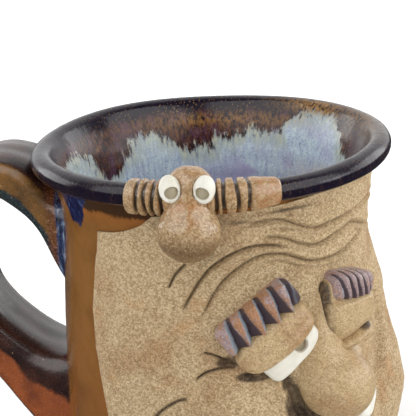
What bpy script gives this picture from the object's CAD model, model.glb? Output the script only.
"""Looks of the hand-built face mug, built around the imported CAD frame.

Shapes are worked out in millimetres with numpy and turned into metres when a mesh is
made. Places on the face are an angle in degrees round the cup from the middle of the
face, a radius from the cup's axis and a height above the foot. Values stored on the
points, such as stain and glaze zones, steer the procedural materials.
"""

import functools
import math

import bpy
import numpy as np
from mathutils import Matrix, Vector, noise


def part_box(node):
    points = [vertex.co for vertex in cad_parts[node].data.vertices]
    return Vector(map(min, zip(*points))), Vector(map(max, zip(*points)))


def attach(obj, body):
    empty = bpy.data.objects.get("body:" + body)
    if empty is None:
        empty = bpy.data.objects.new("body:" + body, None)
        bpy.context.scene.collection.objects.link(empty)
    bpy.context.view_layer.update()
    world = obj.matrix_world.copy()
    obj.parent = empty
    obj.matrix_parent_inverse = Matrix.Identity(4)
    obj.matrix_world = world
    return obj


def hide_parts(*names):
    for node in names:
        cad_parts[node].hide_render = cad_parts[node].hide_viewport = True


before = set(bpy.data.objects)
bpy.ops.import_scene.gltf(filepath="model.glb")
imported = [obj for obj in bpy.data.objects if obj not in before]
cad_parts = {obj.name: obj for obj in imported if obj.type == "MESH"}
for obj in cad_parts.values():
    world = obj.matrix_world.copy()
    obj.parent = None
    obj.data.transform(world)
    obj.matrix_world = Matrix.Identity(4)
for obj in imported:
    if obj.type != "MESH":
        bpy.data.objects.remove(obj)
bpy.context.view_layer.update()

MM = 0.001
FACE_ANGLE = -40
EVEN = (1, 1, 1)

# Sizes of the thrown cup in millimetres; the rim's come from the CAD frame
CUP_HIGH = np.array(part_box("mug_body")[1]) / MM
RIM_RADIUS = float(CUP_HIGH[0])
RIM_TOP = float(CUP_HIGH[2])
BEAD = 3.4
BEAD_RADIUS = RIM_RADIUS - BEAD
BEAD_HEIGHT = RIM_TOP - BEAD
FOOT = {"radius": 38.5, "height": 5, "bevel": 1.5, "ring": 4.5, "recess": 2.5}
BELLY = {"radius": 46.5, "height": 17, "turn": 12.5, "wall_curve": 850}
NECK = {"radius": 44, "height": 95, "curve": 57}
INSIDE = {"neck_radius": 39.7, "neck_height": 98, "neck_curve": 36,
          "base_radius": 41.3, "base_height": 18, "turn": 10.8, "floor_radius": 31, "floor": 7.5}
SMALLEST_RING = 0.6
UNDER_BEAD = math.radians(54)
INNER_BEAD = math.radians(30)


# ---------------------------------------------------------------- numbers and shapes

def fade(low, high, value):
    """Smooth step: 0 where the value is at low or beyond it, 1 at high."""
    t = np.clip((value - low) / (high - low), 0, 1)
    return t * t * (3 - 2 * t)


def bell(value, width):
    return np.exp(-(value / width) ** 2)


def unit(vectors):
    return vectors / np.linalg.norm(vectors, axis=-1, keepdims=True)


def full_turn(count):
    """Evenly spaced angles once round, in radians."""
    return np.arange(count) * 2 * math.pi / count


def wavy(points, size, seed):
    """Smooth noise from -1 to 1 at each point; size is the wavelength in millimetres."""
    shift = Vector((seed, 1.7 * seed, -2.3 * seed))
    places = np.asarray(points) / size
    values = [noise.noise(Vector(place) + shift) for place in places.reshape(-1, 3)]
    return np.array(values).reshape(places.shape[:-1])


def on_face(angle, radius, height):
    """Points at a face angle in degrees, a radius and a height."""
    turn = np.radians(FACE_ANGLE + np.asarray(angle, float))
    height = np.asarray(height, float) + 0 * turn
    return np.stack([radius * np.cos(turn), radius * np.sin(turn), height], axis=-1)


def travelled(points):
    """Distance covered along a line of points, up to each of them."""
    steps = np.linalg.norm(np.diff(points, axis=0), axis=1)
    return np.concatenate([[0], np.cumsum(steps)])


def smooth_path(stations, count):
    """Catmull-Rom curve through the stations, evenly spaced along its length."""
    knots = np.asarray(stations, float)
    padded = np.concatenate([[2 * knots[0] - knots[1]], knots, [2 * knots[-1] - knots[-2]]])
    dense = []
    for a, b, c, d in zip(padded, padded[1:], padded[2:], padded[3:]):
        for t in np.linspace(0, 1, 24, endpoint=False):
            dense.append(0.5 * (2 * b + (c - a) * t + (2 * a - 5 * b + 4 * c - d) * t ** 2
                                + (3 * b - a - 3 * c + d) * t ** 3))
    dense = np.array(dense + [knots[-1]])
    length = travelled(dense)
    wanted = np.linspace(0, length[-1], count)
    return np.stack([np.interp(wanted, length, column) for column in dense.T], axis=1)


def arc(start, end, curve, count):
    """Points after start up to end; curve is the arc's radius, positive when it turns left."""
    start, end = np.array(start, float), np.array(end, float)
    if not curve:
        t = np.linspace(0, 1, count + 1)[1:, None]
        return start + (end - start) * t
    chord = end - start
    left = np.array([-chord[1], chord[0]]) / np.linalg.norm(chord)
    rise = math.sqrt(curve ** 2 - (np.linalg.norm(chord) / 2) ** 2)
    centre = (start + end) / 2 + left * math.copysign(rise, curve)
    first = math.atan2(*(start - centre)[::-1])
    last = math.atan2(*(end - centre)[::-1])
    turn = (last - first + math.pi) % (2 * math.pi) - math.pi
    if turn * curve < 0:
        turn += math.copysign(2 * math.pi, curve)
    angles = first + turn * np.linspace(0, 1, count + 1)[1:]
    return centre + abs(curve) * np.stack([np.cos(angles), np.sin(angles)], axis=1)


def grid_faces(rows, columns, close_columns=False):
    """Quads of a grid of points stored row by row."""
    across = np.arange(columns if close_columns else columns - 1)
    i, j = np.meshgrid(np.arange(rows - 1), across, indexing="ij")
    next_j = (j + 1) % columns
    quads = [i * columns + j, i * columns + next_j, (i + 1) * columns + next_j, (i + 1) * columns + j]
    return np.stack(quads, axis=-1).reshape(-1, 4).tolist()


def capped_tube(rings, flip=False):
    """Points and faces of a tube of closed rings, with a centre point at each end."""
    rows, columns = rings.shape[:2]
    count = rows * columns
    points = np.concatenate([rings.reshape(-1, 3), [rings[0].mean(axis=0)], [rings[-1].mean(axis=0)]])
    faces = grid_faces(rows, columns, close_columns=True)
    for j in range(columns):
        following = (j + 1) % columns
        faces.append([count, following, j])
        faces.append([count + 1, count - columns + j, count - columns + following])
    if flip:
        faces = [face[::-1] for face in faces]
    return points, faces


def with_ends(values):
    """Values at a capped tube's ring points, followed by those of its two end points."""
    return np.concatenate([values.ravel(), [values[0].mean(), values[-1].mean()]])


@functools.cache
def sphere(count):
    """Unit directions on a closed sphere of six square grids, count squares wide, and its quads."""
    steps = np.tan(np.linspace(-1, 1, count + 1) * math.pi / 4)
    points, faces, index = [], [], {}
    for axis in range(3):
        for side in (-1, 1):
            numbers = np.empty((count + 1, count + 1), int)
            for i, u in enumerate(steps):
                for j, v in enumerate(steps):
                    point = [side, u, v]
                    point = point[3 - axis:] + point[:3 - axis]
                    key = tuple(round(value, 6) for value in point)
                    if key not in index:
                        index[key] = len(points)
                        points.append(point)
                    numbers[i, j] = index[key]
            corners = [numbers[:-1, :-1], numbers[1:, :-1], numbers[1:, 1:], numbers[:-1, 1:]]
            quads = np.stack(corners, axis=-1).reshape(-1, 4)
            faces += (quads if side > 0 else quads[:, ::-1]).tolist()
    return unit(np.array(points)), faces


def new_object(name, data):
    item = bpy.data.objects.new(name, data)
    bpy.context.scene.collection.objects.link(item)
    return item


def mesh_object(name, points, faces, material):
    """Mesh object in metres with one material."""
    mesh = bpy.data.meshes.new(name)
    mesh.from_pydata(points, [], faces)
    mesh.update()
    mesh.materials.append(material)
    return new_object(name, mesh)


def add_piece(name, points, faces, material, nodes, slot, **attributes):
    """One closed mesh of the object, with its CAD nodes, slot and point attributes."""
    piece = mesh_object(name, (np.asarray(points) * MM).tolist(), faces, material)
    piece.data.shade_smooth()
    for key, values in attributes.items():
        layer = piece.data.attributes.new(key, "FLOAT", "POINT")
        layer.data.foreach_set("value", np.asarray(values, np.float32))
    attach(piece, "root")
    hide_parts(*nodes)
    return piece


# ---------------------------------------------------------------- material graphs

def colour(red, green, blue):
    """Linear colour from the usual 0 to 255 screen values."""
    def linear(value):
        share = value / 255
        return share / 12.92 if share <= 0.04045 else ((share + 0.055) / 1.055) ** 2.4
    return (linear(red), linear(green), linear(blue), 1)


class Graph:
    """Nodes of one material or world. Every method returns the socket that carries its result.

    Sizes are in millimetres. A colour can be given as three screen values, 0 to 255.
    """

    def __init__(self, owner):
        self.owner = owner
        owner.use_nodes = True
        self.tree = owner.node_tree
        self.tree.nodes.clear()

    def node(self, kind, inputs=(), output=0, **settings):
        """New node; each input is linked to a socket or set to a constant."""
        item = self.tree.nodes.new(kind)
        for key, value in settings.items():
            setattr(item, key, value)
        for key, value in dict(inputs).items():
            socket = item.inputs[key]
            if isinstance(value, bpy.types.NodeSocket):
                self.tree.links.new(value, socket)
            elif socket.type == "RGBA":
                socket.default_value = colour(*value)
            else:
                socket.default_value = value
        return item.outputs[output] if item.outputs else None

    def place(self, stretch=EVEN):
        """Position on the object, scaled along each axis."""
        here = self.node("ShaderNodeNewGeometry", output="Position")
        scale = tuple(value / MM for value in stretch)
        return self.node("ShaderNodeVectorMath", {0: here, 1: scale}, operation="MULTIPLY")

    def attribute(self, name):
        return self.node("ShaderNodeAttribute", output="Fac", attribute_name=name)

    def noise(self, size, detail=2, rough=0.5, stretch=EVEN):
        settings = {"Vector": self.place(stretch), "Scale": 1 / size,
                    "Detail": detail, "Roughness": rough}
        return self.node("ShaderNodeTexNoise", settings)

    def cells(self, size, output="Distance", stretch=EVEN):
        settings = {"Vector": self.place(stretch), "Scale": 1 / size}
        return self.node("ShaderNodeTexVoronoi", settings, output)

    def math(self, operation, a, b):
        return self.node("ShaderNodeMath", {0: a, 1: b}, operation=operation)

    def times(self, a, b):
        return self.math("MULTIPLY", a, b)

    def plus(self, a, b):
        return self.math("ADD", a, b)

    def length(self, vector):
        return self.node("ShaderNodeVectorMath", {0: vector}, "Value", operation="LENGTH")

    def wander(self, value, *ripples):
        """Value moved up and down by (noise, amount) pairs."""
        for ripple, amount in ripples:
            value = self.plus(value, self.times(self.math("SUBTRACT", ripple, 0.5), amount))
        return value

    def span(self, value, low, high, start=0, end=1, kind="SMOOTHSTEP"):
        """Value taken from the range low to high into start to end."""
        settings = {"Value": value, "From Min": low, "From Max": high, "To Min": start, "To Max": end}
        return self.node("ShaderNodeMapRange", settings, interpolation_type=kind)

    def tint(self, base, shade, share, strength=None, kind="MIX"):
        """Base turned towards a shade by a share from 0 to 1, times a strength."""
        if strength is not None:
            share = self.times(share, strength)
        inputs = {0: share, 6: base, 7: shade}
        return self.node("ShaderNodeMix", inputs, 2, data_type="RGBA", blend_type=kind)

    def dots(self, base, shade, size, reach, strength, stretch=EVEN):
        """Base with one dot in each cell of the given size; reach is the dot's radius in cells."""
        inside = self.math("LESS_THAN", self.cells(size, stretch=stretch), reach)
        return self.tint(base, shade, inside, strength)

    def ramp(self, value, *stops):
        """Colour ramp from (position, red, green, blue) stops."""
        item = self.tree.nodes.new("ShaderNodeValToRGB")
        self.tree.links.new(value, item.inputs[0])
        elements = item.color_ramp.elements
        while len(elements) < len(stops):
            elements.new(1)
        for element, (position, *shade) in zip(elements, stops):
            element.position = position
            element.color = colour(*shade)
        return item.outputs[0]

    def bump(self, height, distance, strength, under=None):
        """Normal bumped by a height; under is another bump's normal."""
        settings = {"Height": height, "Distance": distance * MM, "Strength": strength}
        if under is not None:
            settings["Normal"] = under
        return self.node("ShaderNodeBump", settings)

    def finish(self, base, roughness, normal, constants):
        """Material with a Principled surface; constants are set on the shader's own sockets."""
        settings = {"Base Color": base, "Roughness": roughness, "Normal": normal, **constants}
        surface = self.node("ShaderNodeBsdfPrincipled", settings, "BSDF")
        self.node("ShaderNodeOutputMaterial", {"Surface": surface})
        return self.owner


def material_graph(name):
    return Graph(bpy.data.materials.new(name))


def clay_tone(g, fine, grain, grain_share):
    """Mottle of single sand grains and fine noise, from 0 to 1."""
    grains = g.node("ShaderNodeSeparateColor", {"Color": g.cells(grain, "Color")})
    return g.plus(g.times(grains, grain_share), g.times(fine, 1 - grain_share))


def clay_material(name, pale, mid, dark, grain, roughness, polish):
    """Sandy stoneware clay: grog grains, iron specks, broad toning and stain in the folds."""
    g = material_graph(name)
    fine = g.noise(0.3, 4, 0.75)
    base = g.ramp(clay_tone(g, fine, grain, 0.34), (0.27, *dark), (0.49, *mid), (0.71, *pale))
    base = g.dots(base, (232, 220, 196), 1.1, g.span(fine, 0.4, 0.7, 0, 0.3), 0.6, (1, 1.1, 0.9))
    base = g.dots(base, (84, 64, 44), 1.4, g.span(fine, 0.5, 0.75, 0, 0.22), 0.55, (1.1, 0.9, 1))
    warm = g.span(g.noise(17, 3, 0.6), 0.45, 0.72, 0, 0.42)
    base = g.tint(base, (192, 142, 88), warm, kind="MULTIPLY")
    flash = g.span(g.noise(9, 4, 0.65), 0.56, 0.74, 0, 0.35)
    base = g.tint(base, (188, 132, 78), flash)
    base = g.dots(base, (52, 36, 26), 2.3, g.span(g.noise(3.1), 0.5, 0.75, 0, 0.13), 0.75)
    blotch = g.span(g.noise(1.4, 3, 0.65), 0.3, 0.62, 0.76, 1)
    patchy = g.span(g.noise(8), 0.36, 0.6, 0.8, 1)
    soaked = g.times(g.span(g.attribute("deep"), 0.12, 0.85, 0, 0.97), g.times(blotch, patchy))
    base = g.tint(base, (46, 32, 22), soaked)
    normal = g.bump(fine, 0.14, 0.7, g.bump(g.cells(grain * 1.4), 0.12, 0.6))
    gloss = g.span(fine, 0.3, 0.7, roughness - 0.06, roughness + 0.06)
    return g.finish(base, gloss, normal, {"Specular IOR Level": 0.35, "Coat Weight": polish,
                                          "Coat Roughness": 0.28, "Coat IOR": 1.6})


def critter_material():
    """Smoother clay of the rim figure, with an orange blush and a brown shade below."""
    g = material_graph("critter_clay")
    fine = g.noise(0.45, 4, 0.7)
    base = g.ramp(clay_tone(g, fine, 0.5, 0.45), (0.25, 140, 106, 67), (0.5, 169, 138, 96),
                  (0.75, 197, 170, 130))
    blush = g.times(g.attribute("blush"), g.span(g.noise(2.6, 4), 0.35, 0.6))
    base = g.tint(base, (172, 108, 46), blush, 0.6)
    base = g.tint(base, (98, 68, 28), g.attribute("shade"), g.span(fine, 0.3, 0.7, 0.9, 0.5))
    base = g.tint(base, (48, 32, 22), g.span(g.attribute("deep"), 0.2, 0.9, 0, 0.92))
    base = g.dots(base, (228, 214, 188), 1.2, g.span(fine, 0.4, 0.7, 0, 0.3), 0.4, (1, 1.1, 0.9))
    base = g.dots(base, (86, 64, 42), 1.3, g.span(fine, 0.45, 0.75, 0, 0.24), 0.6, (1.1, 0.9, 1))
    normal = g.bump(fine, 0.08, 0.5, g.bump(g.noise(2), 0.15, 0.5))
    gloss = g.span(fine, 0.3, 0.7, 0.5, 0.65)
    return g.finish(base, gloss, normal, {"Specular IOR Level": 0.4, "Coat Weight": 0.8,
                                          "Coat Roughness": 0.2, "Coat IOR": 1.8})


def porcelain_material():
    g = material_graph("porcelain")
    cloud = g.noise(5, 3)
    base = g.ramp(cloud, (0.3, 226, 221, 204), (0.7, 242, 240, 231))
    base = g.tint(base, (158, 145, 116), g.span(g.attribute("pit"), 0.3, 1, 0, 0.88))
    base = g.dots(base, (120, 92, 62), 2.7, 0.05, 0.5)
    normal = g.bump(g.noise(0.5, 3), 0.05, 0.6)
    return g.finish(base, g.span(cloud, 0.3, 0.7, 0.42, 0.55), normal, {"Specular IOR Level": 0.4})


def brow_material():
    """Iron and titanium glaze brushed on the brows: lilac where thick, rust on the ridges."""
    g = material_graph("brow_glaze")
    cloud = g.noise(2.2, 5, 0.65)
    fine = g.noise(0.5, 3, 0.7)
    rust = g.ramp(fine, (0.3, 144, 98, 66), (0.6, 184, 138, 104), (0.8, 214, 184, 158))
    lilac = g.ramp(fine, (0.3, 124, 102, 106), (0.55, 170, 148, 146), (0.8, 210, 196, 188))
    share = g.span(g.plus(cloud, g.times(g.attribute("centre"), 0.22)), 0.5, 0.68)
    base = g.tint(lilac, rust, share)
    base = g.tint((76, 62, 68), base, g.span(g.attribute("ridge"), 0.1, 0.85))
    base = g.tint(base, (158, 170, 182), g.span(g.attribute("frost"), 0.2, 0.9, 0, 0.85))
    normal = g.bump(cloud, 0.3, 0.6, g.bump(fine, 0.12, 0.6))
    return g.finish(base, g.span(cloud, 0.3, 0.7, 0.28, 0.42), normal, {"Specular IOR Level": 0.5})


def cup_material():
    """Layered glaze: dark cobalt rim, rust band, streaks into a milky blue inside, amber outside."""
    g = material_graph("body_glaze")
    inward, milky = g.attribute("inward"), g.attribute("milky")
    broad = g.noise(9, stretch=(1, 1, 0.3))
    wide = g.noise(3.2, 4, 0.65, (1, 1, 0.22))
    thin = g.noise(0.9, 3, 0.7, (1, 1, 0.16))
    fine = g.noise(0.55, 3, 0.75)
    cloud = g.noise(12, 4, 0.6)

    dark = g.ramp(thin, (0.3, 13, 10, 28), (0.55, 28, 20, 34), (0.78, 62, 44, 36))
    rust = g.ramp(thin, (0.3, 24, 11, 16), (0.48, 54, 25, 22), (0.62, 102, 58, 30), (0.78, 164, 116, 62))
    violet = g.ramp(wide, (0.3, 32, 16, 36), (0.6, 84, 52, 70))
    rust = g.tint(rust, violet, g.span(wide, 0.48, 0.6, 0, 0.75))
    blue = g.ramp(g.plus(g.times(fine, 0.5), g.times(thin, 0.5)), (0.33, 134, 140, 174),
                  (0.46, 176, 192, 210), (0.58, 204, 220, 224), (0.76, 230, 236, 228))
    lilac_share = g.times(g.span(cloud, 0.42, 0.6, 0, 0.85), g.span(milky, 3, 12, 0.2, 1))
    lavender = g.tint(blue, (166, 156, 192), lilac_share)
    cream = g.tint((172, 184, 184), (196, 196, 160), g.span(thin, 0.4, 0.7))

    jagged = g.wander(milky, (broad, 9), (wide, 12), (thin, 8))
    fringe = g.times(g.span(jagged, -2.5, 0.5), g.span(jagged, 1, 6, 1, 0))
    inside = g.tint(dark, rust, g.span(g.wander(inward, (wide, 9)), 4, 9))
    inside = g.tint(inside, lavender, g.span(jagged, -2, 1.5))
    inside = g.tint(inside, cream, fringe, 0.75)
    warm = g.times(g.attribute("warm"), g.span(thin, 0.3, 0.6))
    inside = g.tint(inside, (184, 146, 116), warm, 0.75)

    amber = g.ramp(cloud, (0.3, 112, 74, 36), (0.55, 132, 90, 44), (0.75, 142, 96, 52))
    height = g.node("ShaderNodeSeparateXYZ", {"Vector": g.place()}, "Z")
    amber = g.tint(amber, (132, 74, 36), g.span(height, 15, 85, 1, 0), 0.5)
    amber = g.tint(amber, (96, 62, 36), g.span(fine, 0.55, 0.75, 0, 0.25))
    amber = g.tint(amber, (156, 96, 44), g.span(inward, -26, -18), 0.6)
    low_edge = g.plus(g.wander(inward, (wide, 5)), g.times(g.attribute("lip"), 3.4))
    amber = g.tint(amber, (46, 33, 22), g.span(low_edge, -16.4, -14.8, 0, 0.9))
    runs = g.wander(g.attribute("runs"), (wide, 2.2), (thin, 1.2))
    cobalt = g.ramp(thin, (0.35, 14, 17, 38), (0.55, 26, 35, 76), (0.72, 86, 102, 142))
    outside = g.tint(amber, cobalt, g.span(runs, 0.45, 0.62))
    outside = g.tint(outside, dark, g.span(inward, -9.6, -7.6))

    base = g.tint(outside, inside, g.span(inward, -1, 1))
    on_rim = g.times(g.span(inward, -7.5, -4), g.span(inward, 5, 9, 1, 0))
    dusty_rim = g.times(g.times(on_rim, g.attribute("dusty")), 0.8)
    base = g.dots(base, (128, 100, 66), 0.8, g.span(cloud, 0.35, 0.65, 0.12, 0.3), dusty_rim,
                  (1, 1, 0.45))
    gold = g.times(g.attribute("gold"), g.span(thin, 0.36, 0.56))
    base = g.tint(base, (168, 124, 66), gold, 0.85)
    base = g.dots(base, (40, 30, 30), 3.1, 0.06, 0.7)

    normal = g.bump(thin, 0.10, 0.35, g.bump(cloud, 0.9, 0.35, g.bump(fine, 0.03, 0.4)))
    gloss = g.plus(g.span(fine, 0.3, 0.7, 0.10, 0.18), g.span(inward, 5, 12, 0, 0.12))
    return g.finish(base, gloss, normal, {"Specular IOR Level": 0.42})


def handle_material():
    """The same amber glaze, dark and iron-red where it pooled, blue-green underneath."""
    g = material_graph("handle_glaze")
    cloud = g.noise(9, 4, 0.6)
    fine = g.noise(0.6, 3, 0.7)
    runs = g.noise(3, 4, 0.6, (0.35, 1, 0.35))
    streak = g.noise(1.1, 3, 0.6, (1, 1, 0.14))
    amber = g.ramp(cloud, (0.3, 60, 42, 24), (0.45, 110, 78, 38), (0.6, 142, 98, 44), (0.75, 116, 64, 32))
    orange = g.ramp(cloud, (0.3, 112, 52, 28), (0.5, 158, 82, 36), (0.7, 142, 70, 34))
    amber = g.tint(amber, orange, g.attribute("late"))
    pooled = g.ramp(runs, (0.35, 30, 18, 18), (0.65, 70, 38, 28))
    base = g.tint(amber, pooled, g.span(g.wander(g.attribute("outer"), (runs, 1.2)), 0.35, 0.65))
    teal = g.ramp(fine, (0.35, 28, 38, 46), (0.6, 54, 66, 66), (0.8, 98, 100, 84))
    base = g.tint(base, teal, g.span(g.wander(g.attribute("under"), (runs, 1)), 0.45, 0.7))
    from_wall = g.math("SUBTRACT", g.length(g.place((1, 1, 0))), NECK["radius"])
    from_wall = g.wander(from_wall, (streak, 2.4))
    mottled = g.ramp(fine, (0.35, 66, 38, 26), (0.55, 128, 74, 44), (0.75, 160, 122, 88))
    base = g.tint(base, mottled, g.attribute("early"), g.span(from_wall, 3, 6.5, 0.8, 0))
    cobalt = g.ramp(streak, (0.36, 20, 24, 48), (0.54, 46, 62, 100), (0.68, 146, 160, 182))
    base = g.tint(base, cobalt, g.attribute("near_side"), g.span(from_wall, 2.2, 3, 1, 0))
    base = g.dots(base, (34, 26, 24), 2.4, 0.10, 0.7)
    base = g.dots(base, (190, 168, 132), 3.3, 0.06, 0.7)
    normal = g.bump(runs, 0.25, 0.3, g.bump(cloud, 0.7, 0.3, g.bump(fine, 0.04, 0.4)))
    return g.finish(base, g.span(fine, 0.3, 0.7, 0.20, 0.30), normal, {"Specular IOR Level": 0.85})


SAND = clay_material("sand_clay", (214, 192, 156), (182, 157, 119), (140, 114, 80), 0.42, 0.84, 0)
PAD = clay_material("pad_clay", (212, 187, 145), (192, 164, 120), (160, 129, 89), 0.4, 0.6, 0.5)
CRITTER = critter_material()
PORCELAIN = porcelain_material()
BROW = brow_material()
CUP = cup_material()
HANDLE = handle_material()


# ---------------------------------------------------------------- cup

def cup_profile():
    """Closed outline (radius, height) from the underside, up the outside and down the inside."""
    ring_inner = FOOT["radius"] - FOOT["bevel"] - FOOT["ring"]
    under = (BEAD_RADIUS - BEAD * math.cos(UNDER_BEAD), BEAD_HEIGHT - BEAD * math.sin(UNDER_BEAD))
    inner = (BEAD_RADIUS - BEAD * math.cos(INNER_BEAD), BEAD_HEIGHT + BEAD * math.sin(INNER_BEAD))
    # Corner, arc radius on the way there (None for a straight line) and number of points
    corners = (
        ((ring_inner - FOOT["recess"], FOOT["recess"]), None, 10),
        ((ring_inner, 0), None, 5),
        ((FOOT["radius"] - FOOT["bevel"], 0), None, 6),
        ((FOOT["radius"], FOOT["bevel"]), None, 4),
        ((FOOT["radius"], FOOT["height"]), None, 5),
        ((BELLY["radius"], BELLY["height"]), BELLY["turn"], 16),
        ((NECK["radius"], NECK["height"]), BELLY["wall_curve"], 70),
        (under, -NECK["curve"], 24),
        ((RIM_RADIUS, BEAD_HEIGHT), BEAD, 10),
        (inner, BEAD, 16),
        ((INSIDE["neck_radius"], INSIDE["neck_height"]), INSIDE["neck_curve"], 26),
        ((INSIDE["base_radius"], INSIDE["base_height"]), None, 74),
        ((INSIDE["floor_radius"], INSIDE["floor"]), -INSIDE["turn"], 14),
        ((SMALLEST_RING, INSIDE["floor"]), None, 26),
    )
    points = [np.array([[SMALLEST_RING, FOOT["recess"]]])]
    for corner, curve, count in corners:
        points.append(arc(points[-1][-1], corner, curve, count))
    return np.concatenate(points)


# Where the milky glaze starts inside: bearing round the cup in degrees, depth below the crest
MILKY_START = (
    (-180, 12), (-150, 14), (-75, 14), (-20, 14), (15, 17), (32, 15), (40, 11), (50, 5), (64, 4),
    (69, 6), (72, 14), (78, 15), (86, 12), (98, 17), (112, 18), (126, 13), (140, 15), (147, 18),
    (153, 25), (160, 21), (168, 14), (180, 12),
)


def make_cup():
    """Thrown cup with finger rings inside, a slightly uneven rim and its glaze zones."""
    profile = cup_profile()
    travel = travelled(profile)
    inward = travel - travel[np.argmax(profile[:, 1])]
    around, down = np.meshgrid(full_turn(420), inward)
    radius = np.repeat(profile[:, :1], around.shape[1], axis=1)
    height = np.repeat(profile[:, 1:], around.shape[1], axis=1)
    finger_rings = np.sin(down * 1.15 + around + 0.8 * np.sin(2 * around))
    radius += 0.07 * finger_rings * (fade(8, 20, down) * fade(118, 100, down))
    outer_zone = fade(-12, -20, down) * fade(-100, -85, down)
    radius += 0.02 * np.sin(down * 0.9 + around) * outer_zone
    wobble = 0.25 * np.sin(3 * around + 0.6) + 0.15 * np.sin(5 * around + 2)
    height += (wobble - 0.4) * (fade(-14, -3, down) * fade(14, 3, down))
    rings = np.stack([radius * np.cos(around), radius * np.sin(around), height], axis=-1)
    points, faces = capped_tube(rings)

    side = (around + math.pi) % (2 * math.pi) - math.pi
    bearing = np.degrees(side)
    sway = 2.5 * np.sin(0.45 * down + 5 * side)
    milky = down - np.interp(bearing + sway, *np.array(MILKY_START).T)
    near_handle = bell(bearing + 140, 15) + bell(bearing - 175, 26)
    behind = 0.55 * bell(bearing - 100, 50)
    beside_handle = np.abs(bearing + 136.5) / (15 + 0.7 * (down + 10))
    patch = 1.25 * fade(1.25, 0.5, beside_handle) * fade(-28, -22, down)
    runs = np.where(bearing < -115, patch, (near_handle + behind) * fade(-26, -11, down))
    dusty = 0.25 + 0.75 * fade(-0.2, 0.8, np.sin(side + 0.4))
    gold = bell(bearing - 60, 14) * fade(-1, 1.5, down) * fade(6.5, 3.5, down)
    gold = np.maximum(gold, 0.5 * bell(bearing - 30, 26) * bell(down - 1.5, 4))
    gold = np.maximum(gold, 0.68 * bell(bearing - 100, 36) * bell(down - 8.6, 2.3))
    warm = bell(bearing - 42, 24) * fade(17, 25, down)
    lip = fade(-86, -94, bearing) * fade(-176, -168, bearing)
    zones = {"inward": down, "milky": milky, "runs": runs, "dusty": dusty, "gold": gold,
             "warm": warm, "lip": lip}
    add_piece("cup", points, faces, CUP, ["mug_body"], "body_glaze",
              **{name: with_ends(values) for name, values in zones.items()})


def wall_radius(height):
    """Radius of the cup's outer wall at heights below the bead."""
    profile = cup_profile()
    outside = np.arange(len(profile)) < np.argmax(profile[:, 0])
    wall = profile[(profile[:, 0] > FOOT["radius"] - 0.1) & outside]
    return np.interp(height, wall[:, 1], wall[:, 0])


# ---------------------------------------------------------------- sandy face sheet

SHEET = {"right": 80, "bottom": 12, "top": 109}
SHEET_HEIGHTS = (12, 45, 90, 109)
SHEET_RADII = (46.6, 48.7, 45.4, 46.8)
SHEET_RADIUS = 47
MM_PER_DEGREE = math.radians(SHEET_RADIUS)

# Pressed folds of the face: (angle, height) stations, then depth, width and darkness
FOLDS = (
    (((-27, 106.5), (-19, 107), (-12, 106.5), (-4, 103.6), (2, 102), (12, 102.5), (22, 103),
      (34, 103.8), (46, 104.4)), 1.35, 0.6, 0.6),
    (((-22, 102), (-16, 102), (-11, 101), (-5, 98.6), (1, 97), (7, 97.5), (14, 98.8), (22, 99.3),
      (30, 97), (38, 95.4), (45, 95.2)), 1.35, 0.6, 0.6),
    (((-17, 104.4), (-12, 104.2), (-7, 102.9)), 0.5, 0.45, 0.8),
    (((-8, 101.2), (-3, 99.9), (1, 99.4)), 0.5, 0.45, 0.8),
    (((-49, 81), (-46.5, 84.5), (-43.5, 88.5), (-40, 92.5), (-36, 95.6), (-30, 98.4), (-24, 99.8),
      (-17, 99.8), (-9, 98)), 1.4, 0.6, 0.75),
    (((-43, 78), (-40, 82.5), (-36.5, 87.5), (-31.5, 92), (-25, 95.4), (-19, 97), (-12, 96.6),
      (-6, 94.4), (0, 92.6), (8, 92), (16, 92.6), (24, 94.4), (32, 96.6)), 1.4, 0.6, 0.65),
    (((-26, 91), (-20, 93.8), (-14, 95), (-9, 93.2), (-4, 90.8)), 0.5, 0.5, 0.6),
    (((-45.5, 96.3), (-48, 94.6), (-50.5, 92.2), (-53, 88.4)), 0.9, 0.55, 1),
    (((-42, 70.6), (-38, 69.8), (-34.5, 68.4), (-30, 66.4)), 0.85, 0.55, 1),
    (((-45, 62.4), (-41, 64.6), (-36, 65.8), (-30, 66)), 0.85, 0.55, 1),
    (((-61, 49), (-57.5, 52.6), (-54, 54.8), (-50.5, 56.4), (-47, 57)), 0.9, 0.65, 1),
    (((-15.5, 63.5), (-12.5, 59), (-10, 54), (-8.6, 49), (-9.5, 44)), 2.1, 2, 1),
    (((24, 76), (30, 79), (36, 80.5), (44, 80)), 0.5, 0.8, 0.3),
    (((33, 82), (36.5, 75), (37.5, 67), (33, 58), (29, 50)), 0.9, 1.7, 0.12),
    (((-44, 44), (-46, 38), (-44, 30), (-38, 23)), 0.8, 0.8, 0.8),
    (((38, 27), (36, 22), (30, 18)), 0.7, 0.8, 0.8),
)

# Rubbed-in dark stain: angle, height, half width in mm, half height in mm, strength
STAINS = (
    (-33, 67.5, 4.6, 2.4, 1),
    (-37, 74, 2.2, 5.5, 0.5),
    (-24.5, 63, 6, 1.9, 1.2),
    (-14, 59, 2.2, 2, 1),
    (-10, 53, 3.9, 5.2, 1.8),
    (-8, 45.5, 5.4, 7, 2),
    (-5, 74, 2.4, 6, 0.5),
    (-27, 107.5, 9, 1.5, 0.6),
    (-8, 109.2, 14, 1, 0.7),
    (-57, 103.5, 9, 3, 0.3),
)

# Soft swellings of the sheet: angle, height, half width in mm, half height in mm, rise
SWELLS = (
    (-16, 79, 22, 12, 0.9),
    (8, 83, 16, 14, 0.9),
    (-20, 60, 14, 8, 0.7),
    (14, 62, 12, 10, 1.2),
    (52, 97, 14, 9, -1),
    (54, 73.5, 13, 8, 2.3),
    (-4, 104.6, 24, 2.2, 0.5),
)


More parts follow.
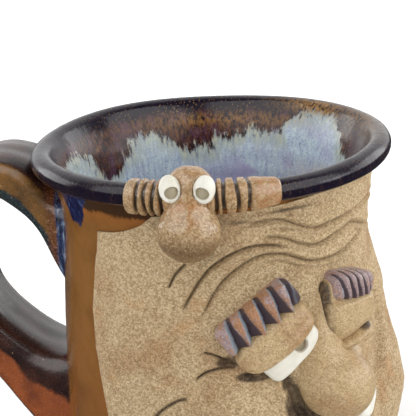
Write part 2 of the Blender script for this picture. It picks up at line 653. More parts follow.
def fold_profile(points, stations, depth, width):
    """Height change and stain of one pressed fold at flat points (mm along, mm up)."""
    steps = 90
    path = smooth_path(stations, steps) * np.array([MM_PER_DEGREE, 1])
    reach = 5
    near = np.all((points > path.min(axis=0) - reach) & (points < path.max(axis=0) + reach), axis=1)
    rise, stain = np.zeros(len(points)), np.zeros(len(points))
    gaps = points[near][:, None, :] - path
    distance = np.einsum("ijk,ijk->ij", gaps, gaps)
    closest = distance.argmin(axis=1)
    number = np.arange(len(closest))
    gap = gaps[number, closest]
    along = unit(np.gradient(path, axis=0))[closest]
    above = np.sign(along[:, 0]) * (along[:, 0] * gap[:, 1] - along[:, 1] * gap[:, 0])
    apart = np.sqrt(distance[number, closest])
    ends = fade(0, 9, closest) * fade(steps - 1, steps - 10, closest)
    groove = -depth * bell(apart, width)
    lip = 0.62 * depth * bell(apart - 1.2 * width - 0.35, 0.9 * width) * (above < 0)
    puff = 0.45 * depth * bell(apart - 2.4 * width, 1.9 * width) * (above > 0)
    rise[near] = ends * (groove + lip + puff)
    stain[near] = ends * bell(apart, 0.8 * width) * min(1, depth)
    return rise, stain


def oval(angle, height, middle_angle, middle_height, half_width, half_height):
    """One in the middle of an oval place on the face, fading outwards."""
    along = (angle - middle_angle) * MM_PER_DEGREE / half_width
    up = (height - middle_height) / half_height
    return np.exp(-along ** 2 - up ** 2)


def sheet_surface(angle, height):
    """Radius of the face sheet and its stain at each (angle, height)."""
    shape = angle.shape
    angle, height = angle.ravel(), height.ravel()
    flat = np.stack([angle * MM_PER_DEGREE, height], axis=1)
    radius = np.interp(height, SHEET_HEIGHTS, SHEET_RADII)
    stain = np.zeros(len(flat))
    for *place, rise in SWELLS:
        radius += rise * oval(angle, height, *place)
    for *place, strength in STAINS:
        soaked = strength * oval(angle, height, *place)
        stain = np.maximum(stain, soaked * fade(0.2, 0.7, soaked))
    for stations, depth, width, darkness in FOLDS:
        rise, line = fold_profile(flat, stations, depth, width)
        radius += rise
        stain = np.maximum(stain, darkness * line)
    spots = on_face(angle, SHEET_RADIUS, height)
    radius += 0.30 * wavy(spots, 9, 3) + 0.10 * wavy(spots, 2.2, 5) + 0.09 * wavy(spots, 0.75, 7)
    return radius.reshape(shape), np.minimum(stain, 1).reshape(shape)


def uneven_steps(low, high, fine_low, fine_high, fine, coarse):
    """Values from low to high, closely spaced between fine_low and fine_high."""
    parts = [
        np.linspace(low, fine_low, max(2, round((fine_low - low) / coarse) + 1))[:-1],
        np.linspace(fine_low, fine_high, round((fine_high - fine_low) / fine) + 1),
        np.linspace(fine_high, high, max(2, round((high - fine_high) / coarse) + 1))[1:],
    ]
    return np.concatenate(parts)


def sheet_left_edge(height):
    """Face angle of the sheet's left border, which wanders as it goes down."""
    return np.interp(height, (12, 48, 57, 67, 79, 97, 109),
                     (-77, -81.3, -83.8, -86.5, -88, -85.6, -83))


def sheet_top_edge(angle):
    """Height of the sheet's upper border: it drops away towards the left corner."""
    return np.interp(angle, (-86, -74, -69.5, -65.3, -62.1, -59.7, -57, -20, 0, 30),
                     (102, 103.2, 104, 105.3, 106.4, 107.8, 109.6, 110.6, 111.6, 112.4))


def closed_sheet(front, back, step):
    """Closed mesh of a fine front grid and a back grid of every step-th point, and its back's size."""
    rows, columns = front.shape[:2]
    some_rows = sorted({*range(0, rows, step), rows - 1})
    some_columns = sorted({*range(0, columns, step), columns - 1})
    rear = back[np.ix_(some_rows, some_columns)]
    points = np.concatenate([front.reshape(-1, 3), rear.reshape(-1, 3)])
    count, rear_count = rows * columns, len(some_rows) * len(some_columns)
    faces = grid_faces(rows, columns)
    faces += [[count + k for k in quad[::-1]] for quad in grid_faces(*rear.shape[:2])]
    fine = np.arange(count).reshape(rows, columns)
    coarse = count + np.arange(rear_count).reshape(rear.shape[:2])
    borders = (
        (fine[0], coarse[0], some_columns, True),
        (fine[-1], coarse[-1], some_columns, False),
        (fine[:, 0], coarse[:, 0], some_rows, False),
        (fine[:, -1], coarse[:, -1], some_rows, True),
    )
    for line, rear_line, chosen, flip in borders:
        line, rear_line = line.tolist(), rear_line.tolist()
        for first, last, near, far in zip(chosen, chosen[1:], rear_line, rear_line[1:]):
            middle = (first + last) // 2
            strip = [[line[k], near, line[k + 1]] for k in range(first, middle)]
            strip.append([line[middle], near, far])
            strip += [[line[k], far, line[k + 1]] for k in range(middle, last)]
            faces += [face[::-1] if flip else face for face in strip]
    return points, faces, rear_count


def make_sheet():
    """Sheet of sandy clay on the wall, thinned out towards its ragged border."""
    # Grid lines are closest where the brows, eyes and nose sit
    heights = uneven_steps(SHEET["bottom"], SHEET["top"], 62, SHEET["top"] - 0.6, 0.36, 0.62)
    shares = uneven_steps(0, 1, 0.20, 0.78, 0.0026, 0.0052)
    share, height = np.meshgrid(shares, heights)
    left = sheet_left_edge(height)
    angle = left + (SHEET["right"] - left) * share
    top = sheet_top_edge(angle)
    height = height + fade(88, SHEET["top"], height) * (top - SHEET["top"])
    ragged = wavy(on_face(angle, SHEET_RADIUS, height), 2.6, 11)
    from_side = np.minimum(share, 1 - share) * (SHEET["right"] - left) * MM_PER_DEGREE
    from_end = np.minimum(height - SHEET["bottom"], top - height)
    border = np.minimum(from_side, from_end + 0.15)
    radius, stain = sheet_surface(angle, height)
    wall = wall_radius(height)
    thin = fade(0, 4.5, border + 0.5 * ragged)
    lift = 0.25
    radius = wall + lift + (radius - wall - lift) * (0.12 + 0.88 * thin)
    radius = np.maximum(radius, wall + 0.2)
    radius = np.where(border <= 1e-6, wall - 0.2, radius)
    angle = angle + 0.5 * ragged * fade(3, 0, from_side)
    front, back = on_face(angle, radius, height), on_face(angle, wall - 1, height)
    points, faces, rear_count = closed_sheet(front, back, 6)
    add_piece("face_sheet", points, faces, SAND, ["face_slab"], "sand_clay",
              deep=np.concatenate([stain.ravel(), np.zeros(rear_count)]))


# ---------------------------------------------------------------- pads
#
# A place is (angle, radius, height, tilt in degrees). Pads are shaped in local
# coordinates: out from the cup, along the wall and up.

def to_cup(local, angle, radius, height, tilt):
    """Pad points (out, along, up) tilted on the face and wrapped round the cup."""
    lean = math.radians(tilt)
    along = local[:, 1] * math.cos(lean) - local[:, 2] * math.sin(lean)
    up = local[:, 1] * math.sin(lean) + local[:, 2] * math.cos(lean)
    reach = max(radius, 46)
    return on_face(angle + np.degrees(along / reach), radius + local[:, 0], height + up)


def rounded_block(half, power, count):
    """Superellipsoid points (out, along, up) with the given half sizes and squareness."""
    directions, faces = sphere(count)
    size = (np.abs(directions) ** power).sum(axis=1) ** (-1 / power)
    return directions * size[:, None] * np.array(half), faces


def roughen(points, *layers):
    """Hand-made unevenness away from the middle of a piece; layers are (amount, size, seed)."""
    for amount, size, seed in layers:
        away = unit(points - points.mean(axis=0))
        points = points + away * (amount * wavy(points, size, seed))[:, None]
    return points


def make_brow(name, node, place, half, power, grooves, lean, depth, width, rusty, seed):
    """Glazed brow block with V grooves pressed across it, each wider at its lower end.

    Grooves are (place along the brow, strength); lean is their slant in degrees.
    """
    local, faces = rounded_block(half, power, 80)
    out, along, up = local.T
    across = along + math.tan(math.radians(lean)) * up
    cut = np.zeros(len(local))
    frost = np.zeros(len(local))
    flare = width * (0.6 + 0.6 * fade(half[2], -half[2], up))
    for spot, strength in grooves:
        apart = across - spot
        slope = np.where(apart < 0, -apart / (1.3 * flare), apart / (3 * flare))
        cut = np.maximum(cut, strength * np.clip(1 - slope, 0, 1) * (0.6 + 0.4 * flare))
        frost = np.maximum(frost, strength * bell(apart + 0.7 * flare, 0.6 * flare))
    front = fade(0, 0.5 * half[0], out)
    out -= depth * cut * front
    up -= np.sign(up) * 0.5 * cut * front
    local = roughen(local, (0.16, 1.9, seed))
    centre = rusty * (1 - np.abs(local[:, 1]) / half[1])
    add_piece(name, to_cup(local, *place), faces, BROW, [node], "brow_glaze",
              ridge=1 - fade(0.04, 0.45, cut) * front, frost=frost * front, centre=centre)


def make_pad(name, node, place, half, power, seed, shape):
    """Clay pad pressed on the face; its shape function bends the block and returns the stain."""
    local, faces = rounded_block(half, power, 60)
    stain = shape(*local.T)
    local = roughen(local, (0.18, 3.2, seed), (0.09, 0.8, seed + 4))
    low = 0.75 * fade(0.35 * half[0], -0.1 * half[0], local[:, 0])
    add_piece(name, to_cup(local, *place), faces, PAD, [node], "pad_clay", deep=np.maximum(low, stain))


def hood_shape(out, along, up):
    """Heavy lid: its lower front edge hangs forward over the eye."""
    out += 0.9 * fade(1, -5, up) * fade(0, 4, out)
    out -= 0.35 * (bell(up + 0.6, 0.9) * fade(-11, -4, along))
    return 0.5 * fade(-3.6, -5, up) * fade(-2, -9, along)


def shut_lid_shape(out, along, up):
    """Thumb-like lid: cliff on the left, flowing into the face on the right."""
    out -= 1.6 * fade(3, 9.5, along) ** 2
    bottom = fade(-3, -9, up)
    out -= bottom
    along += 0.16 * bottom * (0.5 - along)
    up += 2.6 * bottom * fade(-4, 7, along)
    out -= 2.4 * fade(2, 3.6, up)
    left = fade(-6.4, -8, along)
    cliff = left * (0.3 * fade(7.8, 6.8, out) + 0.6 * fade(6.4, 3.6, out))
    cliff += 0.5 * left * fade(-2, -7, up)
    return 0.95 * np.maximum(cliff, fade(-5, -7, up) * fade(0, 4, along))


def ledge_shape(out, along, up):
    """Lower lid: thicker and prouder towards the right, stained where the lids meet."""
    right = fade(-6, 6, along)
    up *= 0.75 + 0.45 * right
    out += 0.8 * right * fade(0, 3, out)
    return 0.95 * fade(0.9, 1.8, up) * fade(0, 3, along)


def press_pupil(points, centre, aim, radius, depth):
    """Push a flat-bottomed hole into an eye; returns the points and how deep each lies."""
    aim = unit(aim)
    away = points - centre
    forward = away @ aim
    sideways = np.linalg.norm(away - forward[:, None] * aim, axis=1)
    hole = fade(radius + 0.12, radius - 0.18, sideways) * (forward > 0)
    return points - hole[:, None] * depth * aim, hole


def make_left_eye():
    """Porcelain block under the hood; its pupil looks straight out at the upper right."""
    local, faces = rounded_block((5.2, 9.3, 4.9), 5.5, 96)
    local = roughen(local, (0.10, 2.4, 21))
    points = to_cup(local, -12.4, 46.3, 69.6, 40)
    pupil_angle = -9.8
    aim = on_face(pupil_angle, 1, 0)
    centre = on_face(pupil_angle, 51.5, 71.2) - 5 * aim
    points, pit = press_pupil(points, centre, aim, 2.2, 1.5)
    add_piece("left_eye", points, faces, PORCELAIN, ["left_eyeball"], "porcelain", pit=pit)


def smooth_union(fields, softness):
    """Polynomial smooth minimum of distance-like fields."""
    joined = fields[0]
    for field in fields[1:]:
        share = np.clip(0.5 + 0.5 * (field - joined) / softness, 0, 1)
        joined = field * (1 - share) + joined * share - softness * share * (1 - share)
    return joined


def ellipsoid_field(points, place, half):
    """Distance-like field of an ellipsoid seated on the face."""
    angle, radius, height, tilt = place
    turn, lean = math.radians(FACE_ANGLE + angle), math.radians(tilt)
    out = np.array([math.cos(turn), math.sin(turn), 0])
    level = np.array([-math.sin(turn), math.cos(turn), 0])
    upright = np.array([0, 0, 1])
    along = level * math.cos(lean) + upright * math.sin(lean)
    up = upright * math.cos(lean) - level * math.sin(lean)
    away = points - on_face(angle, radius, height)
    local = np.stack([away @ out, away @ along, away @ up], axis=1) / np.array(half)
    return (np.linalg.norm(local, axis=1) - 1) * min(half)


def cast_blob(centre, parts, softness, reach):
    """Closed surface seen from a centre point: where each ray leaves the smooth union.

    Parts are ellipsoids, each (place, half sizes out, along and up).
    """
    halvings = 26
    directions, faces = sphere(84)
    near, far = np.zeros(len(directions)), np.full(len(directions), reach)
    for _ in range(halvings):
        middle = (near + far) / 2
        spots = centre + directions * middle[:, None]
        field = smooth_union([ellipsoid_field(spots, *part) for part in parts], softness)
        near = np.where(field < 0, middle, near)
        far = np.where(field < 0, far, middle)
    return centre + directions * near[:, None], faces


def make_nose():
    """Round nose, its wings and the bridge up to the brows as one smooth piece of clay."""
    parts = (
        ((4.9, 51, 55.8, 0), (10, 10, 10)),
        ((-0.5, 46.2, 64.5, -10), (7, 7.4, 14)),
        ((13, 44.8, 60, -30), (6.4, 9, 10)),
        ((4, 45, 76, 0), (4.2, 5, 10)),
    )
    points, faces = cast_blob(on_face(2, 47.5, 58), parts, 4, 42)
    points = roughen(points, (0.25, 5, 31), (0.09, 0.85, 33))
    radius = np.hypot(points[:, 0], points[:, 1])
    deep = 0.8 * fade(49.6, 48, radius) * fade(60, 56, points[:, 2])
    add_piece("nose", points, faces, PAD, ["nose_bulb", "nose_bridge"], "pad_clay", deep=deep)


def make_patch(name, node, place, half, rise, seed, lopsided=0):
    """Cheek or chin: a dome that feathers into the face sheet and tucks under it.

    Here a place is (angle, height, tilt) and half is the half size along and up.
    """
    edge = 1.16  # the tucked border lies past the dome's rim, which is at 1
    ring, turn = np.meshgrid(np.linspace(0, edge, 64)[1:], full_turn(168), indexing="ij")
    lean = math.radians(place[2])
    along = ring * half[0] * np.cos(turn)
    up = ring * half[1] * np.sin(turn)
    angle = place[0] + (along * math.cos(lean) - up * math.sin(lean)) / MM_PER_DEGREE
    height = place[1] + along * math.sin(lean) + up * math.cos(lean)
    base, stain = sheet_surface(angle, height)
    dome = np.clip(1 - ring ** 2, 0, 1) ** 1.25
    dome *= 1 + lopsided * np.cos(turn) * ring
    tuck = 1.1 * fade(0.97, edge, ring)
    lumps = 0.25 * wavy(on_face(angle, base, height), 6, seed)
    front = on_face(angle, base + rise * dome + lumps * dome - tuck + 0.04, height)
    back = on_face(angle, wall_radius(height) - 0.8, height)
    points, faces = capped_tube(np.concatenate([front, back[::-1]]), flip=True)
    stain = 0.9 * stain * fade(0.78, 1, ring)
    deep = with_ends(np.concatenate([stain, np.zeros(stain.shape)]))
    add_piece(name, points, faces, SAND, [node], "pad_clay", deep=deep)


def make_roll(name, node, stations, radius, seed):
    """Lip: a hand-rolled coil along (angle, height) stations, thinner towards its ends."""
    seat = 48.2
    path = smooth_path(stations, 150)
    centre = on_face(path[:, 0], seat, path[:, 1])
    travel = np.linspace(-1, 1, len(path))
    slim = np.clip(1 - np.abs(travel) ** 8, 0, 1) ** 0.5
    thick = radius * (0.25 + 0.75 * slim) * (1 + 0.07 * wavy(centre, 6, seed))
    forward = unit(np.gradient(centre, axis=0))
    out = unit(centre * np.array([1, 1, 0]))
    side = np.cross(forward, out)
    spin = full_turn(40)[:, None]
    across = np.cos(spin) * out[:, None, :] + 0.95 * np.sin(spin) * side[:, None, :]
    points, faces = capped_tube(centre[:, None, :] + thick[:, None, None] * across)
    bumps = 0.10 * wavy(points[:-2], 1.1, seed + 2)
    points[:-2] += bumps[:, None] * np.repeat(out, len(spin), axis=0)
    away = np.hypot(points[:, 0], points[:, 1]) - seat
    add_piece(name, points, faces, PAD, [node], "pad_clay", deep=0.8 * fade(0.6, -0.9, away))


def make_tooth(number, place, width, length):
    """Porcelain tooth, slightly wider at its upper end."""
    half = (4.3, width / 2, length / 2)
    local, faces = rounded_block(half, 4, 36)
    local[:, 1] *= 1 + 0.06 * np.sign(local[:, 2]) * fade(0, half[2], np.abs(local[:, 2]))
    local = roughen(local, (0.10, 2.6, 40 + number))
    add_piece(f"porcelain_tooth_{number}", to_cup(local, *place), faces, PORCELAIN,
              [f"tooth_{number}"], "porcelain", pit=np.zeros(len(local)))


# ---------------------------------------------------------------- rim figure

# Angle, radius, height and sideways lean of each eye, then its pupil's angle and drop
RIM_EYES = {
    "left_eye": (-47.6, 53.4, 119.9, 10, -46.4, -0.7),
    "right_eye": (-37.6, 53.4, 119.6, -10, -38.4, -0.7),
}
RIM_EYE_HALF = np.array([3.3, 3, 3.9])


def make_critter():
    """Head and hanging nose as one pear of clay, with sockets for the eyes."""
    parts = (
        ((-42.6, 48.8, 117.6, 0), (5.8, 7.3, 7.4)),
        ((-42.8, 50.6, 112.8, 0), (5, 6, 6.6)),
        ((-43, 51.6, 107, 0), (7.4, 8.8, 8.2)),
    )
    centre = on_face(-42.8, 49.8, 112)
    points, faces = cast_blob(centre, parts, 2.2, 24)
    points = roughen(points, (0.22, 3.6, 51), (0.05, 0.8, 53))
    for angle, radius, height, *_ in RIM_EYES.values():
        away = np.linalg.norm(points - on_face(angle, radius, height), axis=1)
        points += (centre - points) * (0.22 * fade(3.9, 2.2, away))[:, None]
    x, y, height = points.T
    radius = np.hypot(x, y)
    between = bell(height - 114.5, 4.2)
    middle = bell(np.degrees(np.arctan2(y, x)) - FACE_ANGLE + 42.6, 5.5)
    blush = between * middle * (radius > 50) + 0.5 * fade(120, 124, height)
    low = fade(108.5, 102.5, height)
    deep = 0.8 * fade(50, 47.5, radius) * fade(112, 108, height)
    add_piece("critter", points, faces, CRITTER, ["critter_head", "critter_nose"], "critter_clay",
              blush=blush, shade=low, deep=deep)


def make_rim_eye(name):
    """Porcelain ball seated in its socket, with a pupil that squints inwards and down."""
    angle, radius, height, lean, pupil_angle, pupil_drop = RIM_EYES[name]
    directions, faces = sphere(56)
    local = roughen(directions * RIM_EYE_HALF, (0.08, 1.6, angle))
    centre = on_face(angle, radius, height)
    turn = Matrix.Rotation(math.radians(FACE_ANGLE + angle), 3, "Z")
    tilt = turn @ Matrix.Rotation(math.radians(lean), 3, "X")
    points = centre + local @ np.array(tilt).T
    aim = on_face(pupil_angle, radius + 3, height + pupil_drop) - centre
    points, pit = press_pupil(points, centre, aim, 1.95, 1.1)
    add_piece(f"rim_{name}", points, faces, PORCELAIN, [f"critter_{name}"], "porcelain", pit=pit)


def make_hand(name, first, last, grooves, upper, lower, blush, seed):
    """Hand curled over the rolled rim; its fingers are the swells between the grooves.

    Upper, lower and blush are (angles, values): coil radius above and below, and orange tint.
    """
    rings_per_degree = 9
    angles = np.linspace(first, last, int((last - first) * rings_per_degree))
    angle, turn = np.meshgrid(angles, full_turn(88), indexing="ij")
    share = fade(0.6, -0.4, np.sin(turn))
    span = np.interp(angle, *upper) * (1 - share) + np.interp(angle, *lower) * share
    cut = np.zeros(angle.shape)
    for spot, strength in grooves:
        wander = 0.22 * np.sin(2 * turn + seed + spot)
        cut = np.maximum(cut, strength * np.minimum(1, 1.4 * bell((angle - spot - wander) * 0.92, 0.5)))
    ends = fade(0, 1.5, angle - first) * fade(0, 1.5, last - angle)
    body = BEAD - 0.5 + (span - BEAD + 0.5) * ends
    low = fade(0.2, -0.9, np.sin(turn)) * (np.cos(turn) > 0)
    tube = body - 1.5 * cut * ends + 0.35 * low * (1 - cut) * ends
    tube = np.where(cut > 0.3, np.maximum(tube, BEAD + 0.12 - 0.9 * (1 - ends)), tube)
    rings = on_face(angle, BEAD_RADIUS + tube * np.cos(turn), BEAD_HEIGHT - 0.25 + tube * np.sin(turn))
    points, faces = capped_tube(rings, flip=True)
    bumps = 0.10 * wavy(points, 1.3, seed) + 0.05 * wavy(points, 0.6, seed + 3)
    away = unit(points - on_face(with_ends(angle), BEAD_RADIUS, BEAD_HEIGHT))
    proud = with_ends(fade(BEAD, BEAD + 1, tube))
    points = points + away * (bumps * proud)[:, None]
    tint = with_ends(np.interp(angle, *blush))
    add_piece(f"rim_{name}", points, faces, CRITTER, [f"critter_{name}"], "critter_clay",
              blush=tint, shade=np.zeros(len(points)), deep=with_ends(cut * ends))


# ---------------------------------------------------------------- handle

# Middle of each section (x, z), the lean of its thin side in degrees, its width and thickness
HANDLE_STATIONS = (
    (-40.5, 89, 0, 34, 31),
    (-47.5, 98.3, 24, 30, 14.5),
    (-57, 107, 24, 28, 14.5),
    (-67, 109, -6, 27.5, 12.5),
    (-76, 102.5, -55, 27, 11.5),
    (-79.5, 87, -90, 27, 11),
    (-75.5, 68.5, -119, 27, 12),
    (-65.5, 55.5, -131, 28, 15.5),
    (-54.5, 45.8, -148, 30, 22.5),
    (-42.3, 38.5, -180, 34, 38),
)


def squared_circle(turn):
    """Flattened circle with rounded corners: both coordinates from -1 to 1."""
    circle = np.stack([np.cos(turn), np.sin(turn)], axis=1)
    return np.sign(circle) * np.abs(circle) ** (2 / 3.6)


def make_handle():
    """Pulled strap: flat oval sections swept from the upper root round to the lower root."""
    count, spokes = 240, 112
    path = smooth_path(HANDLE_STATIONS, count)
    dense = np.linspace(0, 2 * math.pi, 4001)
    length = travelled(squared_circle(dense) * np.array([14, 9]))
    spin = np.interp(np.arange(spokes) * length[-1] / spokes, length, dense)
    wide, thick = squared_circle(spin).T
    lean = np.radians(path[:, 2])
    up = np.stack([np.sin(lean), 0 * lean, np.cos(lean)], axis=1)[:, None, :]
    side = np.array([0, 1, 0])
    centre = np.stack([path[:, 0], 0 * lean, path[:, 1]], axis=1)[:, None, :]
    half_width, half_thick = path[:, 3, None] / 2, path[:, 4, None] / 2
    travel = np.linspace(0, 1, count)[:, None]
    middle = fade(0.06, 0.2, travel) * fade(0.94, 0.8, travel)
    ribs = 0.10 * np.sin(3.2 * wide * math.pi) * middle * np.sign(thick)
    ribs = ribs * fade(0.5, 0.9, np.abs(thick))
    rings = centre + (half_width * wide)[:, :, None] * side + (half_thick * thick + ribs)[:, :, None] * up
    points, faces = capped_tube(rings)
    lumps = 0.22 * wavy(rings, 8, 61) * middle
    points[:-2] = (rings + unit(rings - centre) * lumps[:, :, None]).reshape(-1, 3)

    first_half = fade(0.42, 0.30, travel)
    inner = fade(0.3, -0.5, thick) * fade(0.5, 0.65, travel)
    zones = {
        "outer": np.maximum(fade(0.55, 0.95, thick), inner),
        "under": fade(0.1, -0.7, thick) * first_half,
        "early": np.repeat(first_half, spokes, axis=1),
        "near_side": first_half * fade(-0.1, -0.8, wide),
        "late": np.repeat(fade(0.45, 0.6, travel), spokes, axis=1),
    }
    add_piece("strap_handle", points, faces, HANDLE, ["handle"], "handle_glaze",
              **{name: with_ends(values) for name, values in zones.items()})


# ---------------------------------------------------------------- assembly

LEFT_GROOVES = ((-8.6, 1), (-4.1, 1), (0.8, 1), (5.6, 1), (9.9, 0.9), (11.8, 0.5))
RIGHT_GROOVES = ((-5.8, 0.8), (-3.2, 1), (-0.6, 1), (2, 0.7), (4.4, 0.5))
UPPER_LIP = ((-36, 39), (-26, 37.2), (-14, 36.2), (-2, 36.8), (9, 39.6))
LOWER_LIP = ((-34, 31), (-24, 26), (-12, 23), (0, 22.6), (11, 25.4), (21, 32),
             (29, 43))

# Angle, height, tilt, width and length of each tooth
TEETH = (
    (-24.5, 32.4, -22, 7.4, 7.4),
    (-15, 29.6, -12, 7.6, 8),
    (-5.4, 28.6, 0, 7.8, 8.4),
    (4.4, 30.2, 16, 7.6, 8.2),
    (13.6, 34.8, 34, 7.4, 8.4),
    (21.4, 46, 66, 11.4, 7),
)


def make_face():
    """Every piece of the large face, from the brows down to the chin and teeth."""
    make_sheet()
    make_brow("left_brow_strip", "left_brow", (-22.3, 46.4, 80.3, 34), (6, 12.4, 4.9), 6,
              LEFT_GROOVES, lean=-13, depth=3, width=1, rusty=1, seed=71)
    make_brow("right_brow_strip", "right_brow", (13.2, 46.8, 83.4, -12), (6.8, 7.9, 4.3), 4,
              RIGHT_GROOVES, lean=22, depth=1.2, width=0.55, rusty=-0.2, seed=73)
    make_pad("left_hood", "left_eyelid", (-17, 46.5, 73.4, 35.5), (6.4, 12.4, 5.6), 2.8,
             75, hood_shape)
    make_left_eye()
    make_pad("right_lid", "right_eyelid", (11.9, 46, 77.4, -3), (7.8, 9.2, 9.4), 4.6,
             77, shut_lid_shape)
    make_pad("right_ledge", "right_lower_lid", (13, 46.4, 68.2, 12), (7.4, 7.6, 2.2), 2.6,
             79, ledge_shape)
    make_nose()
    make_patch("left_cheek_pad", "left_cheek", (-30, 49, 8), (13.4, 11.6), 3.2, 81)
    make_patch("right_cheek_pad", "right_cheek", (48, 45, 0), (17, 27), 5.5, 83, -0.1)
    make_patch("chin_pad", "chin", (-4, 18, 0), (12, 5.6), 3, 85)
    make_roll("upper_lip_roll", "upper_lip", UPPER_LIP, 2.6, 87)
    make_roll("lower_lip_roll", "lower_lip", LOWER_LIP, 3.1, 89)
    for number, (angle, height, tilt, width, length) in enumerate(TEETH, start=1):
        make_tooth(number, (angle, 46.6, height, tilt), width, length)


def make_rim_figure():
    make_critter()
    for name in RIM_EYES:
        make_rim_eye(name)
    angles = (-64, -60, -46)
    make_hand("left_hand", -63.5, -47, ((-58.7, 1), (-55.9, 1), (-53.4, 1), (-50.8, 1)),
              upper=(angles, (4.5, 4.8, 4.8)), lower=(angles, (4.5, 4.9, 5)),
              blush=((-64, -46), (0.2, 0.5)), seed=91)
    angles = (-38, -28, -22, -18, -14)
    make_hand("right_hand", -38, -13.5, ((-34.4, 0.9), (-32, 1), (-27.9, 1), (-24.3, 0.9)),
              upper=(angles, (4.9, 4.7, 4.4, 3.95, 3.5)), lower=(angles, (5, 4.7, 4.4, 4, 3.6)),
              blush=((-38, -24, -20), (0.4, 0.3, 0.9)), seed=93)


# ---------------------------------------------------------------- studio and camera

CAMERA_AZIMUTH = 15
CAMERA_ELEVATION = 17.05
CAMERA_ROLL = -3.19
CAMERA_DISTANCE = 0.650
CAMERA_TARGET_SHIFT = -0.0017
CAMERA_TARGET_HEIGHT = 0.09804
CAMERA_LENS = 191.7
CAMERA_SENSOR = 36
MUG_MIDDLE = Vector((0, 0, 0.065))
FLOOR_HALF = 6
WALL_DISTANCE = 5.5
WALL_HEIGHT = 5
WORLD_FRONT = 0.06
WORLD_BACK = 1
FLOOR_LAMP = {"behind": 0.7, "height": 0.9, "size": (1.6, 0.7), "power": 3.6, "spread": 80}


def towards(azimuth, elevation):
    """Direction from the mug to a viewer at this azimuth and elevation in degrees."""
    a, e = math.radians(azimuth), math.radians(elevation)
    return Vector((math.sin(a) * math.cos(e), -math.cos(a) * math.cos(e), math.sin(e)))


def make_floor():
    """Large pale studio floor, lit evenly where the lamps don't reach."""
    g = material_graph("floor_paint")
    shade = g.ramp(g.noise(240), (0.3, 250, 250, 250), (0.7, 253, 253, 253))
    grain = g.bump(g.noise(2), 0.02, 0.2)
    far = g.span(g.length(g.place()), 800, 1400)
    paint = g.finish(shade, 0.8, grain, {"Emission Color": (255, 255, 255), "Emission Strength": far})
    corners = [(x * FLOOR_HALF, y * FLOOR_HALF, 0) for x, y in ((-1, -1), (1, -1), (1, 1), (-1, 1))]
    floor = mesh_object("studio_floor", corners, [(0, 1, 2, 3)], paint)
    floor.visible_glossy = False


def make_wall():
    """Round white wall at the edge of the floor; only the camera sees it."""
    turn = full_turn(96)
    ring = np.stack([np.cos(turn), np.sin(turn), 0 * turn], axis=1) * WALL_DISTANCE
    points = np.concatenate([ring, ring + [0, 0, WALL_HEIGHT]])
    g = material_graph("wall_light")
    g.node("ShaderNodeOutputMaterial", {"Surface": g.node("ShaderNodeEmission", {"Strength": 1.2})})
    faces = grid_faces(2, len(turn), close_columns=True)
    wall = mesh_object("studio_wall", points.tolist(), faces, g.owner)
    wall.visible_diffuse = False
    wall.visible_glossy = False
    wall.visible_shadow = False


def make_world():
    """White studio wall behind the mug, seen from the camera, and a dark room in front."""
    g = Graph(bpy.data.worlds.new("studio"))
    direction = g.node("ShaderNodeTexCoord", output="Generated")
    ahead = tuple(-towards(CAMERA_AZIMUTH, 0))
    facing = g.node("ShaderNodeVectorMath", {0: direction, 1: ahead}, "Value", operation="DOT_PRODUCT")
    height = g.node("ShaderNodeSeparateXYZ", {0: direction}, "Z")
    share = g.times(facing, g.span(height, -0.12, 0.04, kind="LINEAR"))
    grey = g.span(share, 0.1, 0.6, WORLD_FRONT, WORLD_BACK, kind="LINEAR")
    background = g.node("ShaderNodeBackground", {"Color": grey})
    g.node("ShaderNodeOutputWorld", {"Surface": background})
    bpy.context.scene.world = g.owner


def add_lamp(name, place, turn, size, power):
    """Rectangular lamp that the camera doesn't see."""
    lamp = bpy.data.lights.new(name, "AREA")
    lamp.shape = "RECTANGLE"
    lamp.size, lamp.size_y = size
    lamp.energy = power
    item = new_object(name, lamp)
    item.location = place
    item.rotation_euler = turn
    item.visible_camera = False
    return item


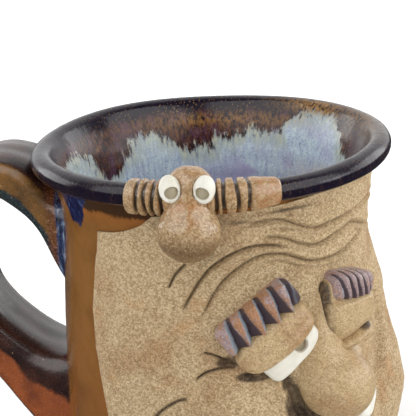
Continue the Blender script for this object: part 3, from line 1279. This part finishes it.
# Softboxes facing the mug: azimuth from the camera, elevation, distance, size and power
SOFTBOXES = {
    "key_softbox": (57, 30, 1.3, (1.4, 1.4), 11.6),
    "left_softbox": (-52, 44, 1.3, (1.5, 1.5), 12),
    "low_right_softbox": (84, 13, 0.9, (0.35, 0.25), 0.6),
    "back_right_softbox": (118, 16, 1.2, (0.8, 0.6), 3),
    "back_left_softbox": (-118, 16, 1.2, (0.8, 0.6), 3),
}


def make_studio():
    """World, softboxes round the mug and a lamp over the floor behind it."""
    make_world()
    bpy.context.scene.view_settings.view_transform = "Standard"
    for name, (azimuth, elevation, distance, size, power) in SOFTBOXES.items():
        back = towards(CAMERA_AZIMUTH + azimuth, elevation)
        turn = back.to_track_quat("Z", "Y").to_euler()
        add_lamp(name, MUG_MIDDLE + back * distance, turn, size, power)
    place = towards(CAMERA_AZIMUTH, 0) * -FLOOR_LAMP["behind"] + Vector((0, 0, FLOOR_LAMP["height"]))
    straight_down = (0, 0, math.radians(CAMERA_AZIMUTH))
    lamp = add_lamp("floor_softbox", place, straight_down, FLOOR_LAMP["size"], FLOOR_LAMP["power"])
    lamp.data.spread = math.radians(FLOOR_LAMP["spread"])
    lamp.visible_glossy = False


def make_camera():
    """Camera at the view the mug is shown from."""
    roll = math.radians(CAMERA_ROLL)
    back = towards(CAMERA_AZIMUTH, CAMERA_ELEVATION)
    right = towards(CAMERA_AZIMUTH + 90, 0)
    up = back.cross(right)
    turned_right = right * math.cos(roll) + up * math.sin(roll)
    turned_up = up * math.cos(roll) - right * math.sin(roll)
    target = right * CAMERA_TARGET_SHIFT + Vector((0, 0, CAMERA_TARGET_HEIGHT))
    data = bpy.data.cameras.new("photo_view")
    data.sensor_width = CAMERA_SENSOR
    data.lens = CAMERA_LENS
    camera = new_object("photo_view", data)
    axes = Matrix((turned_right, turned_up, back)).transposed()
    camera.matrix_world = Matrix.Translation(target + back * CAMERA_DISTANCE) @ axes.to_4x4()
    bpy.context.scene.camera = camera


make_cup()
make_handle()
make_face()
make_rim_figure()
make_floor()
make_wall()
make_studio()
make_camera()
